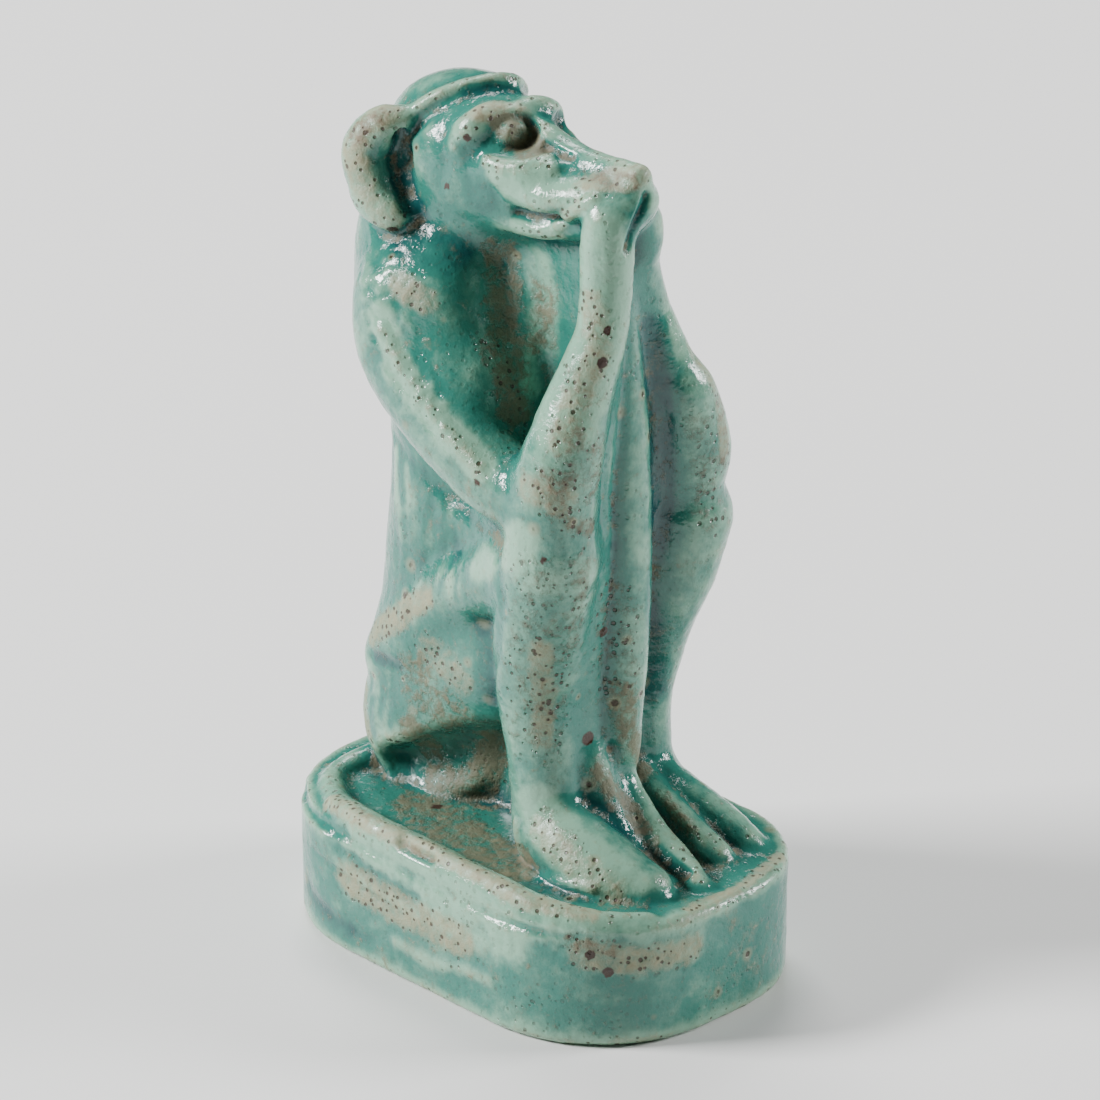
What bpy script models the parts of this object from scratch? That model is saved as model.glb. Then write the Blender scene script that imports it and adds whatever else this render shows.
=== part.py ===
"""A small glazed monkey amulet: the animal squats on a rounded base, elbows on
its knees and both hands at its mouth. Base and monkey are one moulded piece.

The monkey is laid out on a sculptor's grid. A place on it is written as
(side, front, up) in grid squares: side is towards the monkey's own left, front
is where it looks, and up starts at the top of the base. A fourth number is the
thickness of the form there, as a radius. Front is -Y in the scene."""

import math

import bmesh
import bpy
from mathutils import Euler, Matrix, Vector

# Driving sizes, in metres
FIGURE_HEIGHT = 0.0290
BASE_LENGTH = 0.0196
BASE_WIDTH = 0.0129
BASE_THICKNESS = 0.0051
BASE_BACK_RADIUS = 0.0057
BASE_FRONT_RIGHT_RADIUS = 0.0058
BASE_FRONT_LEFT_RADIUS = 0.0049
BASE_EDGE_ROUNDING = 0.0004
FIGURE_SIDE_SHIFT = 0.0010
TAIL_ROOT_RADIUS = 0.00070
TAIL_TIP_RADIUS = 0.00055
TAIL_INSET = 0.0010
TAIL_RISE = 0.00012
RIM_GROOVE_RADIUS = 0.00022
RIM_GROOVE_INSET = 0.00005

# Where tail and groove lie on the rim: the way it faces there, and whether at the front
TAIL_MARKS = ((240.0, False), (210.0, False), (180.1, False), (179.9, True), (150.0, True),
              (125.0, True))
GROOVE_MARKS = ((225.0, False), (205.0, False), (180.1, False), (179.9, True))

# The grid that the monkey is laid out on
GRID_ROWS = 840
SQUARE = FIGURE_HEIGHT / GRID_ROWS

# How the clay is worked, in metres and counts
CLAY_GRAIN = 0.00018
CUTTER_GRAIN = 0.00012
MELT_PASSES = 4
TRIANGLES = 9400
FOOT_SINK = 0.00015

OBJECT_NAME = "monkey_amulet"
GLAZE_COLOUR = (0.16, 0.42, 0.36, 1.0)
GLAZE_ROUGHNESS = 0.22


def clear_scene():
    """Remove what the scene held."""
    for item in list(bpy.data.objects):
        bpy.data.objects.remove(item)


def new_collection(name):
    """A collection of the given name, linked into the scene."""
    collection = bpy.data.collections.new(name)
    bpy.context.scene.collection.children.link(collection)
    return collection


def at(side, front, up):
    """A place on the grid, as a point in the scene. The monkey sits a little to
    the left of the middle of its base, which makes room for the tail."""
    return Vector((FIGURE_SIDE_SHIFT + side * SQUARE, -front * SQUARE, BASE_THICKNESS + up * SQUARE))


def ball(clay, centre, radii, tilt=0.0, turn=0.0):
    """An egg-shaped lump. tilt raises its front end, turn swings it sideways."""
    size = Matrix.Diagonal([r * SQUARE for r in radii] + [1.0])
    pose = Euler((-math.radians(tilt), 0.0, -math.radians(turn)), "XYZ").to_matrix().to_4x4()
    bmesh.ops.create_uvsphere(
        clay,
        u_segments=28,
        v_segments=18,
        radius=1.0,
        matrix=Matrix.Translation(at(*centre)) @ pose @ size,
    )


def block(clay, low, high):
    """A plain block between two opposite corners on the grid."""
    low, high = at(*low), at(*high)
    size = high - low
    bmesh.ops.create_cube(
        clay,
        size=1.0,
        matrix=Matrix.Translation((low + high) / 2) @ Matrix.Diagonal([abs(s) for s in size] + [1.0]),
    )


def add_evaluated(clay, guide, shift=0.0):
    """Put a guide curve's mesh into the clay, raised by shift, and drop the guide."""
    bpy.context.scene.collection.objects.link(guide)
    depsgraph = bpy.context.evaluated_depsgraph_get()
    mesh = bpy.data.meshes.new_from_object(guide.evaluated_get(depsgraph))
    mesh.transform(Matrix.Translation((0.0, 0.0, shift)))
    clay.from_mesh(mesh)
    curve = guide.data
    bpy.data.objects.remove(guide)
    bpy.data.curves.remove(curve)
    bpy.data.meshes.remove(mesh)


def rod(clay, points, radii):
    """A round rod through scene points, its thickness changing, with round ends."""
    curve = bpy.data.curves.new("rod", "CURVE")
    curve.dimensions = "3D"
    curve.bevel_depth = 1.0
    curve.bevel_resolution = 4
    curve.use_fill_caps = True
    curve.resolution_u = 5
    spline = curve.splines.new("BEZIER")
    spline.bezier_points.add(len(points) - 1)
    for knot, point, radius in zip(spline.bezier_points, points, radii):
        knot.co = point
        knot.radius = radius
        knot.handle_left_type = "AUTO"
        knot.handle_right_type = "AUTO"
    add_evaluated(clay, bpy.data.objects.new("rod", curve))
    for point, radius in ((points[0], radii[0]), (points[-1], radii[-1])):
        bmesh.ops.create_icosphere(
            clay,
            subdivisions=3,
            radius=radius,
            matrix=Matrix.Translation(point),
        )


def limb(clay, *landmarks):
    """A rod through grid landmarks, each (side, front, up, radius)."""
    rod(clay, [at(*mark[:3]) for mark in landmarks], [mark[3] * SQUARE for mark in landmarks])


def pair(clay, *landmarks):
    """The same limb on the monkey's right and left."""
    for side in (-1, 1):
        limb(clay, *[(side * x, front, up, r) for x, front, up, r in landmarks])


def corner_radius(right, front):
    """The plan radius of one corner of the base, never more than half its width."""
    wanted = BASE_BACK_RADIUS
    if front:
        wanted = BASE_FRONT_RIGHT_RADIUS if right else BASE_FRONT_LEFT_RADIUS
    return min(wanted, 0.499 * BASE_WIDTH)


def rim_point(facing, front, inset=0.0, up=0.0):
    """A point of the base's outline, drawn in by inset. facing is the way its
    edge looks in degrees, 0 to the monkey's left and 90 to the front, and front
    says which of the two ends is meant where the edge is straight."""
    facing = math.radians(facing)
    right = math.cos(facing) < 0.0
    radius = corner_radius(right, front)
    side = BASE_WIDTH / 2 - radius
    along = BASE_LENGTH / 2 - radius
    return Vector((
        (-side if right else side) + (radius - inset) * math.cos(facing),
        -(along if front else -along) - (radius - inset) * math.sin(facing),
        up,
    ))


def add_base(clay):
    """The base: a long rounded plan of even thickness, its edges softened. It
    reaches a little below the ground, where the underside is cut off flat."""
    curve = bpy.data.curves.new("base", "CURVE")
    curve.dimensions = "2D"
    curve.fill_mode = "BOTH"
    curve.extrude = (BASE_THICKNESS + FOOT_SINK) / 2 - BASE_EDGE_ROUNDING
    curve.bevel_depth = BASE_EDGE_ROUNDING
    curve.bevel_resolution = 2
    curve.offset = -BASE_EDGE_ROUNDING
    steps = 12
    quarters = ((0.1, True), (90.1, True), (180.1, False), (270.1, False))
    outline = [
        rim_point(start + 89.8 * step / steps, front)
        for start, front in quarters
        for step in range(steps + 1)
    ]
    spline = curve.splines.new("POLY")
    spline.points.add(len(outline) - 1)
    for knot, point in zip(spline.points, outline):
        knot.co = (point.x, point.y, 0.0, 1.0)
    spline.use_cyclic_u = True
    add_evaluated(clay, bpy.data.objects.new("base", curve), (BASE_THICKNESS - FOOT_SINK) / 2)


def add_tail(clay):
    """The tail comes out under the rump and lies along the rim on the monkey's
    right, thinning to the front."""
    points = [at(-10, -205, 10)] + [
        rim_point(facing, front, TAIL_INSET, BASE_THICKNESS + TAIL_RISE)
        for facing, front in TAIL_MARKS
    ]
    last = len(points) - 1
    radii = [
        TAIL_ROOT_RADIUS + (TAIL_TIP_RADIUS - TAIL_ROOT_RADIUS) * step / last
        for step in range(last + 1)
    ]
    rod(clay, points, radii)


def add_trunk(clay):
    """Rump, back, belly and flanks, with the thick nape that rounds the shoulders
    off and the mantle over the upper arms."""
    ball(clay, (0, -148, 72), (104, 112, 110))
    limb(clay, (0, -150, 57, 100), (0, -133, 237, 100), (0, -123, 397, 97), (0, -131, 537, 99),
         (0, -140, 637, 88))
    pair(clay, (32, -174, 547, 78), (31, -182, 627, 73), (24, -184, 689, 62))
    pair(clay, (46, -120, 330, 46), (56, -50, 350, 42), (72, 16, 366, 38), (88, 60, 384, 37))
    for side in (-1, 1):
        ball(clay, (side * 60, -122, 562), (74, 84, 118))
        ball(clay, (side * 76, -70, 520), (52, 68, 66), tilt=-30)


def add_web(clay):
    """The clay left standing between the limbs, with its rounded front edge that
    runs out between the feet, and thicker in the crook of each arm."""
    limb(clay, (0, 80, 717, 20), (0, 92, 577, 26), (0, 98, 457, 32), (0, 98, 277, 34),
         (-2, 88, 127, 33), (-4, 95, 72, 27), (-8, 150, 29, 21), (-10, 200, 9, 18), (-18, 240, -3, 14))
    limb(clay, (-4, 70, 24, 32), (-8, 150, 2, 22))
    block(clay, (-22, -95, -20), (22, 95, 697))
    block(clay, (-42, -95, -20), (42, 66, 400))
    limb(clay, (-20, 92, 690, 18), (-28, 98, 617, 22), (-38, 98, 550, 26), (-46, 92, 440, 29),
         (-46, 90, 370, 30), (-44, 84, 280, 30), (-42, 76, 180, 30), (-42, 74, 10, 31))
    limb(clay, (14, 78, 690, 18), (28, 82, 577, 24), (36, 84, 505, 29), (42, 82, 420, 30),
         (44, 78, 350, 29), (40, 70, 280, 28), (36, 54, 180, 27), (34, 48, 10, 29))
    pair(clay, (10, -40, 640, 12), (26, -26, 570, 22), (42, -16, 510, 32), (54, -6, 460, 42),
         (60, 10, 400, 46))


def add_haunches(clay):
    """Haunch and thigh on each side, rising to the knee."""
    for side in (-1, 1):
        ball(clay, (side * 50, -166, 74), (57, 69, 85))
        ball(clay, (side * 57, -86, 182), (53, 138, 101), tilt=35)
    pair(clay, (70, -190, 148, 29), (72, -148, 186, 35), (76, -76, 261, 40), (80, -13, 301, 45),
         (90, 50, 341, 48))


def add_lower_legs(clay):
    """Knees, shins and the filled hollows behind the knees. The left leg is
    slimmer, as it is on the amulet."""
    limb(clay, (-98, 92, 369, 51), (-91, 72, 297, 54), (-84, 60, 237, 53), (-80, 56, 177, 48),
         (-78, 62, 117, 44), (-77, 70, 57, 43), (-76, 76, 20, 40))
    limb(clay, (101, 99, 357, 49), (90, 90, 297, 47), (80, 76, 243, 43), (76, 64, 189, 39),
         (74, 55, 135, 36), (74, 52, 57, 36), (74, 52, 20, 36))
    limb(clay, (76, 46, 290, 39), (76, 42, 220, 37), (74, 38, 140, 35), (74, 42, 40, 35))
    for side in (-1, 1):
        ball(clay, (side * 62, 24, 258), (37, 40, 48))


def add_feet(clay):
    """The long feet. The left one shows a separate inner toe."""
    limb(clay, (-74, 70, 38, 42), (-86, 106, 28, 46), (-84, 160, 8, 45), (-70, 205, -3, 34))
    limb(clay, (74, 52, 34, 38), (74, 100, 22, 38), (84, 165, 3, 33), (88, 200, -8, 27))
    limb(clay, (50, 60, 50, 30), (42, 100, 36, 26), (40, 130, 24, 26), (38, 170, 12, 23),
         (42, 206, 1, 18))
    limb(clay, (50, 50, 10, 30), (44, 130, 0, 26))
    limb(clay, (-36, 90, -4, 26), (-36, 200, -14, 20))


def add_arms(clay):
    """Upper arms down to the elbows on the knees, and forearms up to the mouth."""
    pair(clay, (86, -152, 592, 52), (91, -143, 549, 52), (97, -115, 518, 51), (102, -86, 495, 50),
         (104, -32, 463, 48), (102, 24, 437, 46), (98, 84, 434, 44))
    limb(clay, (-98, 92, 372, 49), (-98, 97, 453, 47), (-88, 105, 506, 42), (-74, 108, 550, 36),
         (-52, 117, 617, 29), (-40, 113, 660, 29), (-33, 108, 707, 30), (-28, 106, 739, 29))
    limb(clay, (98, 96, 400, 42), (99, 101, 439, 46), (81, 111, 505, 38), (67, 101, 540, 33),
         (56, 91, 577, 31), (47, 82, 612, 30), (33, 79, 669, 29), (24, 86, 719, 28))
    limb(clay, (92, 92, 350, 42), (92, 94, 440, 40))
    ball(clay, (30, 94, 706), (26, 25, 40))


def add_head(clay):
    """Skull and the long muzzle with its narrow bridge."""
    ball(clay, (0, -121, 737), (80, 124, 95))
    limb(clay, (0, -40, 742, 60), (0, 20, 742, 47), (0, 70, 745, 39), (0, 109, 756, 31))
    limb(clay, (0, -40, 785, 23), (0, 40, 780, 17), (0, 122, 787, 15))


def add_face(clay):
    """Brows, the bone under the right eye, upper lips and jaw."""
    limb(clay, (-62, -86, 780, 15), (-54, -78, 796, 19), (-38, -68, 806, 18), (-20, -54, 806, 15),
         (-9, -36, 800, 13), (-4, -8, 791, 11))
    limb(clay, (-4, -52, 811, 12), (10, -50, 812, 13), (26, -46, 808, 14), (42, -52, 796, 13),
         (56, -68, 774, 11))
    limb(clay, (-58, -54, 760, 10), (-56, -28, 762, 14), (-48, 0, 766, 15), (-34, 22, 774, 11))
    pair(clay, (50, -12, 748, 15), (45, 16, 747, 20), (38, 48, 750, 19), (27, 86, 761, 16))
    pair(clay, (44, -34, 704, 12), (38, 5, 704, 13), (30, 35, 710, 13), (22, 62, 718, 12))


def add_ears_and_cap(clay):
    """Thick crescent ears and the raised hairline that joins them over the brow."""
    limb(clay, (-68, -171, 785, 17), (-82, -187, 776, 24), (-89, -202, 749, 28), (-92, -194, 721, 28),
         (-95, -178, 699, 27), (-94, -158, 690, 22), (-86, -146, 694, 15))
    limb(clay, (66, -171, 769, 14), (76, -188, 759, 18), (80, -200, 737, 20), (82, -192, 713, 19),
         (84, -176, 691, 18), (86, -150, 679, 16), (80, -132, 681, 11))
    limb(clay, (-64, -172, 787, 7), (-50, -142, 811, 9), (-36, -126, 823, 9), (-15, -108, 832, 9),
         (8, -98, 833, 9), (30, -98, 824, 9), (52, -118, 802, 8), (70, -150, 765, 7))


def carve_haunches(tool):
    """The hollow under each haunch, between rump and shin."""
    pair(tool, (100, -150, 26, 26), (100, -110, 38, 34), (100, -62, 56, 46), (96, -32, 66, 46))
    pair(tool, (100, -84, 33, 29), (96, -22, 36, 32))


def carve_face(tool):
    """Eye hollows, the line of the mouth, the hairline and the ear grooves."""
    ball(tool, (-30, -31, 800), (25, 21, 21))
    limb(tool, (-30, -20, 800, 13), (-24, 4, 794, 8), (-22, 18, 790, 5))
    limb(tool, (42, -32, 797, 10), (32, -14, 798, 17), (24, 6, 796, 12))
    pair(tool, (48, -10, 721, 5), (46, 8, 721, 8), (43, 28, 726, 8), (38, 48, 733, 6))
    limb(tool, (-70, -160, 772, 8), (-60, -135, 799, 9), (-46, -114, 817, 9), (-24, -94, 828, 9),
         (0, -80, 829, 9), (24, -74, 822, 9), (48, -92, 800, 8), (70, -125, 764, 7))
    limb(tool, (-74, -166, 776, 8), (-78, -158, 756, 11), (-84, -150, 732, 12), (-90, -138, 708, 11),
         (-94, -120, 690, 7))


def carve_rim(tool):
    """The groove under the tail, as far as the front corner. It leaves the rim of
    the base as a second ridge."""
    points = [
        rim_point(facing, front, RIM_GROOVE_INSET, BASE_THICKNESS - RIM_GROOVE_RADIUS)
        for facing, front in GROOVE_MARKS
    ]
    rod(tool, points, [RIM_GROOVE_RADIUS] * len(points))


def carve_toes(tool):
    """Grooves between the feet, the ridge between them and the toes."""
    limb(tool, (-28, 76, 92, 6), (-31, 120, 53, 8), (-36, 180, 29, 9), (-24, 222, 11, 7))
    limb(tool, (21, 89, 102, 6), (16, 120, 57, 8), (18, 150, 35, 8), (15, 202, 17, 8),
         (7, 240, 7, 6))
    limb(tool, (50, 110, 71, 5), (60, 160, 43, 6), (64, 220, 15, 6))


def model_clay():
    """Every added form, in one mesh of overlapping closed shapes."""
    clay = bmesh.new()
    for add in (add_base, add_tail, add_trunk, add_web, add_haunches, add_lower_legs,
                add_feet, add_arms, add_head, add_face, add_ears_and_cap):
        add(clay)
    return clay


def carve_clay():
    """Every carved form, in one mesh of overlapping closed shapes."""
    tool = bmesh.new()
    for carve in (carve_haunches, carve_face, carve_rim, carve_toes):
        carve(tool)
    return tool


def as_object(shape, name, collection):
    """Turn a bmesh into an object in the collection."""
    mesh = bpy.data.meshes.new(name)
    shape.to_mesh(mesh)
    shape.free()
    thing = bpy.data.objects.new(name, mesh)
    collection.objects.link(thing)
    return thing


def as_cutter(thing):
    """Show a cutter as wire and keep it out of the render."""
    thing.hide_render = True
    thing.display_type = "WIRE"


def fuse(thing, grain, passes):
    """Melt overlapping shapes into one skin and soften the seams."""
    remesh = thing.modifiers.new("fuse", "REMESH")
    remesh.mode = "VOXEL"
    remesh.voxel_size = grain
    remesh.use_smooth_shade = True
    if passes:
        smooth = thing.modifiers.new("soften", "SMOOTH")
        smooth.factor = 0.5
        smooth.iterations = passes


def cut(thing, cutter):
    """Take the cutter's shape away."""
    boolean = thing.modifiers.new("cut", "BOOLEAN")
    boolean.operation = "DIFFERENCE"
    boolean.object = cutter
    boolean.solver = "EXACT"


def thin_out(thing, wanted):
    """Reduce the skin to the wanted number of triangles."""
    depsgraph = bpy.context.evaluated_depsgraph_get()
    skin = thing.evaluated_get(depsgraph).data
    skin.calc_loop_triangles()
    decimate = thing.modifiers.new("thin out", "DECIMATE")
    decimate.ratio = min(1.0, wanted / len(skin.loop_triangles))


def ground_block(collection):
    """A block whose top is the ground, to cut the underside flat."""
    depth = BASE_THICKNESS
    shape = bmesh.new()
    bmesh.ops.create_cube(
        shape,
        size=1.0,
        matrix=Matrix.Translation((0.0, 0.0, -depth / 2))
        @ Matrix.Diagonal((3 * BASE_LENGTH, 3 * BASE_LENGTH, depth, 1.0)),
    )
    return as_object(shape, "ground", collection)


def glaze_material():
    """Glossy blue-green glaze."""
    material = bpy.data.materials.new("glaze")
    material.use_nodes = True
    shader = material.node_tree.nodes["Principled BSDF"]
    shader.inputs["Base Color"].default_value = GLAZE_COLOUR
    shader.inputs["Roughness"].default_value = GLAZE_ROUGHNESS
    shader.inputs["Metallic"].default_value = 0.0
    return material


def main():
    clear_scene()
    parts = new_collection(OBJECT_NAME)
    cutters = new_collection("cutters")
    carving = as_object(carve_clay(), "carving", cutters)
    ground = ground_block(cutters)
    fuse(carving, CUTTER_GRAIN, 0)
    amulet = as_object(model_clay(), OBJECT_NAME, parts)
    amulet.data.materials.append(glaze_material())
    fuse(amulet, CLAY_GRAIN, MELT_PASSES)
    cut(amulet, carving)
    fuse(amulet, CLAY_GRAIN, MELT_PASSES // 2)
    thin_out(amulet, TRIANGLES)
    cut(amulet, ground)
    for cutter in (carving, ground):
        as_cutter(cutter)


main()
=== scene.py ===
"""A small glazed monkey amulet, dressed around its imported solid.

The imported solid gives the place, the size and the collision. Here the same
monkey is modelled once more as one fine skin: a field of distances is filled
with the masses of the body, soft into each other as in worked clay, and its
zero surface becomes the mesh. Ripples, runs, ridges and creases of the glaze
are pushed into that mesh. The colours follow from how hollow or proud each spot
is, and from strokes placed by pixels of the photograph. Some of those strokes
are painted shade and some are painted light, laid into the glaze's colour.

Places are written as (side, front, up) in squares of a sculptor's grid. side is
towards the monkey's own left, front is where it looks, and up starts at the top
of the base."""

import math

import bpy
import numpy as np
from bpy.props import FloatProperty, FloatVectorProperty, IntProperty, PointerProperty
from mathutils import Matrix, Vector
from mathutils.bvhtree import BVHTree


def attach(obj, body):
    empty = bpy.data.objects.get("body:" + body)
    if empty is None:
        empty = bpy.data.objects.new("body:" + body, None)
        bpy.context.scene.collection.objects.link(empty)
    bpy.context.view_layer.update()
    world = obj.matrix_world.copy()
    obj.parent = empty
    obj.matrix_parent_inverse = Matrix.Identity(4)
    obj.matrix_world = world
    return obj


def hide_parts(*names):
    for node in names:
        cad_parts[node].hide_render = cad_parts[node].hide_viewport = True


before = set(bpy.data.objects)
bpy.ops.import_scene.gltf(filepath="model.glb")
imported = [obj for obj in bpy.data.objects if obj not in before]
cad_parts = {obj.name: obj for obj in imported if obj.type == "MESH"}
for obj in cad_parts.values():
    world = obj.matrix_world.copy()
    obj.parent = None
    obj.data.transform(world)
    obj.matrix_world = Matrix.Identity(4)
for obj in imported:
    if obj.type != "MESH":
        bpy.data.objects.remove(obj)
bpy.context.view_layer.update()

bl_info = {
    "name": "Glazed monkey amulet",
    "version": (1, 0, 0),
    "blender": (4, 5, 0),
    "location": "View3D > Sidebar > Amulet",
    "description": "Models a small glazed faience monkey with its stage",
    "category": "Add Mesh",
}

NODE = "monkey_amulet"

# In squares of the grid
GRID_ROWS = 840
BLEND_MARGIN = 20
AIR_AROUND, AIR_ABOVE = 12, 16
BASE_TAPER = 0.01


# The clay: a field of distances on a grid

def soft_min(a, b, k):
    """The lower of a and b, with a rounded valley k wide where they are alike:
    the mean weighted by how far apart they are, less k times weight times rest."""
    if k <= 0.0:
        return np.minimum(a, b)
    share = np.clip(0.5 + 0.5 * (b - a) / k, 0.0, 1.0)
    return b + (a - b) * share - k * share * (1.0 - share)


def tilted(tilt):
    """Turning matrix that raises a lump's front end by tilt degrees."""
    cos, sin = math.cos(math.radians(tilt)), math.sin(math.radians(tilt))
    return np.array([[1, 0, 0], [0, cos, -sin], [0, sin, cos]])


def along(marks, steps=8):
    """A smooth row of marks: each stretch is the cubic through its two ends whose
    slope at a mark is half the way between the marks beside it."""
    p = np.asarray(marks, float)
    if len(p) < 3:
        return p
    q = np.vstack([2 * p[0] - p[1], p, 2 * p[-1] - p[-2]])
    a, b, c, d = (q[i:len(q) - 3 + i, None, :] for i in range(4))
    t = (np.arange(steps) / steps)[None, :, None]
    rows = 0.5 * (2 * b + (c - a) * t + (2 * a - 5 * b + 4 * c - d) * t ** 2
                  + (3 * b - a - 3 * c + d) * t ** 3)
    return np.vstack([rows.reshape(-1, p.shape[1]), p[-1]])


def tube_distance(x, f, z, path):
    """Distance to a round tube of changing radius: to the nearest stretch of its
    path, less the radius there."""
    best = None
    for a, b in zip(path[:-1], path[1:]):
        ab = b[:3] - a[:3]
        px, pf, pz = x - a[0], f - a[1], z - a[2]
        t = np.clip((px * ab[0] + pf * ab[1] + pz * ab[2]) / (ab @ ab + 1e-9), 0.0, 1.0)
        wx, wf, wz = px - t * ab[0], pf - t * ab[1], pz - t * ab[2]
        far = np.sqrt(wx * wx + wf * wf + wz * wz) - (a[3] + t * (b[3] - a[3]))
        best = far if best is None else np.minimum(best, far)
    return best


class Clay:
    """A block of air into which clay is put and from which it is carved."""

    OUTSIDE = 60.0

    def __init__(self, low, high, step):
        self.low, self.step = np.asarray(low, float), step
        self.axes = [np.arange(l, h, step, dtype=np.float32) for l, h in zip(low, high)]
        self.field = np.full([len(a) for a in self.axes], self.OUTSIDE, np.float32)

    def blend(self, distance, low, high, k, carve=False):
        """Put a shape in, or carve it out, within the box from low to high."""
        spans = []
        for axis, l, h in zip(self.axes, low, high):
            i, j = np.searchsorted(axis, [l, h])
            spans.append(slice(max(i - 1, 0), min(j + 1, len(axis))))
        x, f, z = (axis[span] for axis, span in zip(self.axes, spans))
        shape = distance(x[:, None, None], f[None, :, None], z[None, None, :]).astype(np.float32)
        here = self.field[tuple(spans)]
        if carve:
            here[...] = -soft_min(-here, shape, k)
        else:
            here[...] = soft_min(here, shape, k)

    def lump(self, centre, radii, k=14, tilt=0.0, square=2.0, carve=False):
        """A rounded lump: the sum of each way's distance over its radius, to the
        power of square, is one on its skin. 2 is an egg, more is boxier."""
        pose, c, r = tilted(tilt), np.asarray(centre, float), np.asarray(radii, float)
        boxy = 1.0 if square <= 2.0 else 1.15
        reach = np.sqrt(((pose * r) ** 2).sum(1)) * boxy + BLEND_MARGIN + k

        def distance(x, f, z):
            parts = []
            for i in range(3):
                q = pose[0, i] * (x - c[0]) + pose[1, i] * (f - c[1]) + pose[2, i] * (z - c[2])
                parts.append(np.abs(q) / r[i])
            total = sum(p ** square for p in parts) + 1e-9
            size = total ** (1.0 / square)
            slope = np.sqrt(sum((p ** (square - 1.0) / ri) ** 2 for p, ri in zip(parts, r)))
            return (size - 1.0) / (slope * size ** (1.0 - square) + 1e-9)

        self.blend(distance, c - reach, c + reach, k, carve)

    def limb(self, marks, k=10, carve=False):
        """A round limb through marks of (side, front, up, radius)."""
        path = along(marks)
        margin = BLEND_MARGIN + k
        low = (path[:, :3] - path[:, 3:4]).min(0) - margin
        high = (path[:, :3] + path[:, 3:4]).max(0) + margin
        self.blend(lambda x, f, z: tube_distance(x, f, z, path), low, high, k, carve)

    def pair(self, marks, k=10, carve=False):
        """The same limb on the monkey's right and left."""
        for side in (-1, 1):
            self.limb([(side * m[0],) + tuple(m[1:]) for m in marks], k, carve)


# The monkey's masses

def base_distance(size):
    """Distance to the base: a rounded plan, given a height and soft edges."""
    half_w, half_l, thick = size["half_width"], size["half_length"], size["thickness"]
    middle, edge = size["middle"], size["edge"]

    def distance(x, f, z):
        side = x - middle
        front = np.where(side < 0, size["front_right"], size["front_left"])
        radius = np.where(f > 0, front, size["back"])
        qx, qf = np.abs(side) - (half_w - radius), np.abs(f) - (half_l - radius)
        plan = (np.hypot(np.maximum(qx, 0), np.maximum(qf, 0))
                + np.minimum(np.maximum(qx, qf), 0) - radius)
        plan, rise = plan + edge - BASE_TAPER * z, np.abs(z + thick / 2) - thick / 2 + edge
        return (np.hypot(np.maximum(plan, 0), np.maximum(rise, 0))
                + np.minimum(np.maximum(plan, rise), 0) - edge)

    return distance


def model_trunk(clay):
    """Rump, back, belly, nape and the flanks."""
    clay.lump((0, -148, 72), (104, 112, 110), 0)
    clay.limb([(0, -150, 57, 98), (0, -133, 237, 99), (0, -123, 397, 96), (0, -131, 537, 98),
               (0, -140, 637, 86)], 20)
    clay.pair([(32, -174, 547, 76), (31, -182, 627, 71), (24, -184, 689, 60)], 14)
    clay.pair([(46, -120, 330, 42), (56, -50, 350, 38), (72, 16, 366, 34), (88, 60, 384, 34)], 30)


def model_web(clay):
    """The clay left between the limbs, with its rounded front edge, thicker in the
    crook of the arm."""
    clay.limb([(0, 80, 717, 20), (0, 92, 577, 25), (0, 98, 457, 31), (0, 98, 277, 33), (-2, 88, 127, 32),
               (-4, 95, 72, 26), (-8, 150, 29, 21), (-10, 200, 9, 18), (-18, 240, -3, 14)], 10)
    clay.limb([(-4, 70, 24, 32), (-8, 150, 2, 22)], 6)
    for half, front, top in ((20, 95, 697), (40, 66, 400)):
        clay.blend(lambda x, f, z: np.maximum(np.abs(x) - half, np.maximum(
            np.abs(f) - front, np.abs(z - top / 2) - top / 2)), (-80, -130, -30), (80, 130, 740), 18)
    clay.limb([(-20, 92, 690, 18), (-28, 98, 617, 22), (-38, 98, 550, 26), (-46, 92, 440, 28),
               (-46, 90, 370, 29), (-44, 84, 280, 29), (-42, 76, 180, 29), (-42, 74, 10, 30)], 8)
    clay.limb([(14, 78, 690, 18), (28, 82, 577, 24), (36, 84, 505, 28), (42, 82, 420, 29),
               (44, 78, 350, 28), (40, 70, 280, 27), (36, 54, 180, 26), (34, 48, 10, 28)], 10)
    clay.pair([(10, -40, 640, 8), (26, -26, 570, 16), (42, -16, 510, 26), (54, -6, 460, 36),
               (60, 10, 400, 42)], 30)


def model_haunches(clay):
    """Haunch and thigh on each side, rising to the knee, hollow underneath."""
    for side in (-1, 1):
        clay.lump((side * 50, -166, 74), (56, 68, 84), 14)
        clay.lump((side * 56, -86, 182), (50, 134, 96), 22, tilt=35, square=2.5)
    clay.pair([(100, -150, 24, 28), (100, -110, 38, 36), (100, -62, 54, 48), (96, -10, 70, 54)], 16,
              carve=True)
    clay.pair([(100, -84, 32, 30), (96, 0, 36, 34)], 12, carve=True)
    clay.pair([(70, -190, 146, 28), (72, -148, 185, 33), (76, -76, 260, 38), (80, -13, 300, 43),
               (90, 50, 340, 46)], 20)


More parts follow.
